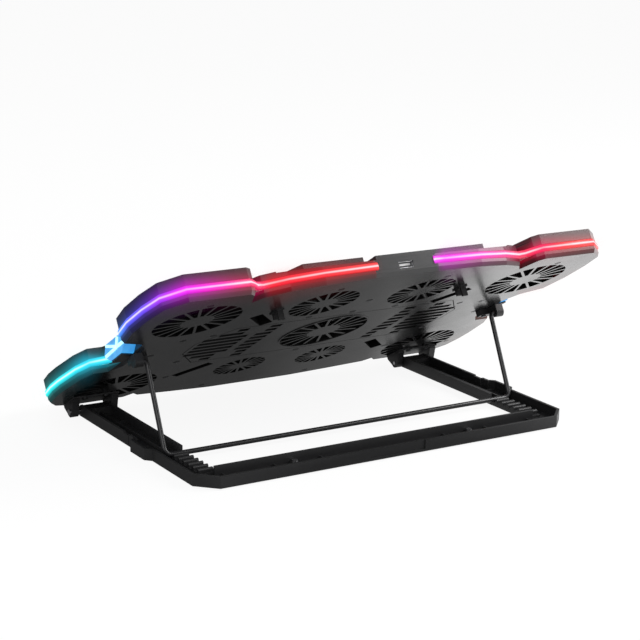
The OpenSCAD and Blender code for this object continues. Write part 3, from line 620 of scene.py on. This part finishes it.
def perforated_plate():
    """Pressed mesh over the fans: small hexagonal holes inside a plain rim."""
    low, high = deck_box(CAD["mesh_plate"])
    z0, z1 = low.z, high.z
    right = [(52, 64), (112, 92), (112, 152), (100, 176), (58, 236)]
    edge = right + [(-x, v) for x, v in reversed(right)]
    inner = [(x * 0.955, 150 + (v - 150) * 0.945) for x, v in edge]
    outer = [(x * 0.997, 150 + (v - 150) * 0.996) for x, v in edge]
    verts, faces = [], []
    n = len(edge)
    for ring, z in ((outer, z0), (outer, z1), (inner, z1), (inner, z0)):
        verts += [(x, v, z) for x, v in ring]
    for i in range(4):
        for k in range(n):
            k2 = (k + 1) % n
            j2 = (i + 1) % 4
            faces.append((i * n + k, i * n + k2, j2 * n + k2, j2 * n + k))

    def inside(x, v):
        """Distance of a point inside the rim, negative beyond it."""
        gap = 1e9
        for (ax, av), (bx, bv) in zip(inner, inner[1:] + inner[:1]):
            d = Vector((bx - ax, bv - av)).normalized()
            gap = min(gap, (x - ax) * -d.y + (v - av) * d.x)
        return gap

    pitch, hole, recess = 8.0, 0.80, 0.12
    row_step = pitch * 0.866
    zt, zb = z1 - recess, z0 + recess
    rows = int(180 / row_step) + 2
    sides = {}
    for row in range(rows):
        v = 62 + row * row_step
        for col in range(-15, 16):
            x = col * pitch + (pitch / 2 if row % 2 else 0)
            if inside(x, v) < -pitch * 0.3:
                continue
            start = len(verts)
            r = pitch / math.sqrt(3)
            for size in (r, r * hole):
                for z in (zt, zb):
                    for k in range(6):
                        a = math.radians(60 * k)
                        verts.append((x + size * math.sin(a), v + size * math.cos(a), z))
            for k in range(6):
                k2 = (k + 1) % 6
                corners = (verts[start + k], verts[start + k2])
                ends = frozenset((round(c[0], 3), round(c[1], 3)) for c in corners)
                sides.setdefault(ends, []).append((start + k, start + 6 + k, start + 6 + k2, start + k2))
                faces.append((start + k, start + k2, start + 12 + k2, start + 12 + k))
                faces.append((start + 6 + k, start + 18 + k, start + 18 + k2, start + 6 + k2))
                faces.append((start + 12 + k, start + 12 + k2, start + 18 + k2, start + 18 + k))
    faces += [walls[0] for walls in sides.values() if len(walls) == 1]
    plate = add_mesh("mesh_sheet", verts, faces, MESH)
    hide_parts("mesh_plate")
    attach(plate, "deck")


perforated_plate()


def plate_points(corners, z0, z1, side=1):
    """Points and faces of a flat plate with these (across, along) corners."""
    n = len(corners)
    verts = [(side * x, v, z) for z in (z0, z1) for x, v in corners]
    faces = [tuple(range(n)), tuple(range(n, 2 * n))]
    faces += [(k, (k + 1) % n, n + (k + 1) % n, n + k) for k in range(n)]
    return verts, faces


def flank_badge(side, label):
    """Bright raised bars across the faceted light body, and a black plate below it that stands in for the
    shaded lower facet (painted shade).
    """
    x0, x1 = 187.2, 188.2
    verts, faces = [], []

    def bar(points):
        base = len(verts)
        verts.extend((side * x, v, w) for x in (x0, x1) for v, w in points)
        m = len(points)
        faces.append(tuple(base + k for k in range(m)))
        faces.append(tuple(base + m + k for k in reversed(range(m))))
        for k in range(m):
            k2 = (k + 1) % m
            faces.append((base + k, base + m + k, base + m + k2, base + k2))

    def stroke(a, b, wide):
        a, b = Vector(a), Vector(b)
        d = (b - a).normalized()
        nrm = Vector((-d.y, d.x)) * wide / 2
        bar([tuple(a + nrm), tuple(b + nrm), tuple(b - nrm), tuple(a - nrm)])

    stroke((106, 15.6), (124, 9.8), 2.2)
    stroke((101.5, 8.2), (124, 9.0), 2.2)
    stroke((123, 9.4), (138.5, 9.3), 2.4)
    stroke((123.4, 9.2), (129.6, 15.8), 2.2)
    rib = add_mesh("badge_rib_" + label, verts, faces, BADGE_CORE)
    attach(rib, "deck")
    # painted shade: a black plate where the light body's lower facet faces down into shade
    corners = [(175.4, 103.4), (186.8, 108.6), (186.8, 128.6), (175.4, 123.4)]
    verts, faces = plate_points(corners, 1.6, 2.8, side)
    plate = add_mesh("badge_shade_plate_" + label, verts, faces, BLACK)
    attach(plate, "deck")


BADGE_CORE = badge_light("badge_core", (0.28, 0.85, 1.0), (0.65, 0.97, 1.0), 1.3)
for side, label in ((-1, "left"), (1, "right")):
    flank_badge(side, label)


# ---------------------------------------------------------------- stage, light and camera

def floor():
    """Pale sweep, nearly shadowless to the eye; glossy rays see a painted reflection, an emission gradient
    along X that is bright past the deck's -X side and dim under the deck.
    """
    mesh = bpy.data.meshes.new("floor")
    r = 6.0
    mesh.from_pydata([(-r, -r, 0), (r, -r, 0), (r, r, 0), (-r, r, 0)], [], [(0, 1, 2, 3)])
    obj = bpy.data.objects.new("floor", mesh)
    bpy.context.scene.collection.objects.link(obj)
    mat, tree, out = new_material("floor_white")
    rays = node(tree, "LightPath")
    plain = node(tree, "BsdfDiffuse", Color=(0.9, 0.9, 0.9, 1))
    bright = node(tree, "Emission", Color=(1, 1, 1, 1), Strength=1.06)
    eye = tree.nodes.new("ShaderNodeMixShader")
    eye.inputs[0].default_value = 0.86
    tree.links.new(plain.outputs[0], eye.inputs[1])
    tree.links.new(bright.outputs[0], eye.inputs[2])
    split = node(tree, "SeparateXYZ", Vector=rest_position(tree))
    # painted reflection: glossy rays see an emission gradient along X, bright past the deck's -X side and
    # dim under the deck
    along = math_node(tree, "DIVIDE", math_node(tree, "ADD", split.outputs[0], 0.26), 0.30, True)
    painted_reflection_ramp = ramp(tree, along, [(0.0, grey(1.0)), (0.2, grey(0.62)), (0.45, grey(0.17)), (0.9, grey(0.07))])
    painted_reflection = node(tree, "Emission", Color=painted_reflection_ramp, Strength=1.6)
    dim = node(tree, "BsdfDiffuse", Color=(0.45, 0.45, 0.45, 1))
    lower = tree.nodes.new("ShaderNodeMixShader")
    tree.links.new(rays.outputs["Is Glossy Ray"], lower.inputs[0])
    tree.links.new(dim.outputs[0], lower.inputs[1])
    tree.links.new(painted_reflection.outputs[0], lower.inputs[2])
    final = tree.nodes.new("ShaderNodeMixShader")
    tree.links.new(rays.outputs["Is Camera Ray"], final.inputs[0])
    tree.links.new(lower.outputs[0], final.inputs[1])
    tree.links.new(eye.outputs[0], final.inputs[2])
    clear = node(tree, "BsdfTransparent")
    side = tree.nodes.new("ShaderNodeMixShader")
    tree.links.new(node(tree, "NewGeometry").outputs["Backfacing"], side.inputs[0])
    tree.links.new(final.outputs[0], side.inputs[1])
    tree.links.new(clear.outputs[0], side.inputs[2])
    tree.links.new(side.outputs[0], out.inputs[0])
    paint(obj, mat)
    return obj


def area_light(name, where, target, size, power, color=(1, 1, 1)):
    data = bpy.data.lights.new(name, "AREA")
    data.shape = "RECTANGLE"
    data.size, data.size_y = size
    data.energy = power
    data.color = color
    obj = bpy.data.objects.new(name, data)
    obj.location = where
    obj.rotation_euler = (Vector(target) - Vector(where)).to_track_quat("-Z", "Y").to_euler()
    bpy.context.scene.collection.objects.link(obj)
    return obj


def camera():
    azimuth, elevation, roll = (math.radians(a) for a in (147.639, 14.289, 1.284))
    back = Vector((math.sin(azimuth) * math.cos(elevation), -math.cos(azimuth) * math.cos(elevation),
                   math.sin(elevation)))
    turn = (-back).to_track_quat("-Z", "Y").to_matrix() @ Matrix.Rotation(roll, 3, "Z")
    right, up = turn.col[0], turn.col[1]
    aim = Vector((0, BASE_REAR, 0.0012)) - right * 0.06165 + up * 0.10716
    data = bpy.data.cameras.new("camera")
    data.lens, data.sensor_width = 100.857, 36.0
    data.clip_end = 50.0
    obj = bpy.data.objects.new("camera", data)
    obj.matrix_world = Matrix.Translation(aim + back * 1.41095) @ turn.to_4x4()
    bpy.context.scene.collection.objects.link(obj)
    bpy.context.scene.camera = obj


def world():
    w = bpy.data.worlds.new("studio")
    w.use_nodes = True
    tree = w.node_tree
    bg = tree.nodes["Background"]
    bg.inputs[0].default_value = (1, 1, 1, 1)
    seen = node(tree, "LightPath").outputs["Is Camera Ray"]
    tree.links.new(math_node(tree, "ADD", math_node(tree, "MULTIPLY", seen, 0.68), 0.38), bg.inputs[1])
    bpy.context.scene.world = w


bpy.context.scene.view_settings.view_transform = "Standard"
floor()
world()
camera()
area_light("key", (-1.6, 0.6, 1.2), (-0.1, 0, 0.05), (1.2, 1.2), 30)
area_light("fill", (1.4, 1.6, 1.4), (0, 0, 0.05), (1.5, 1.5), 12)
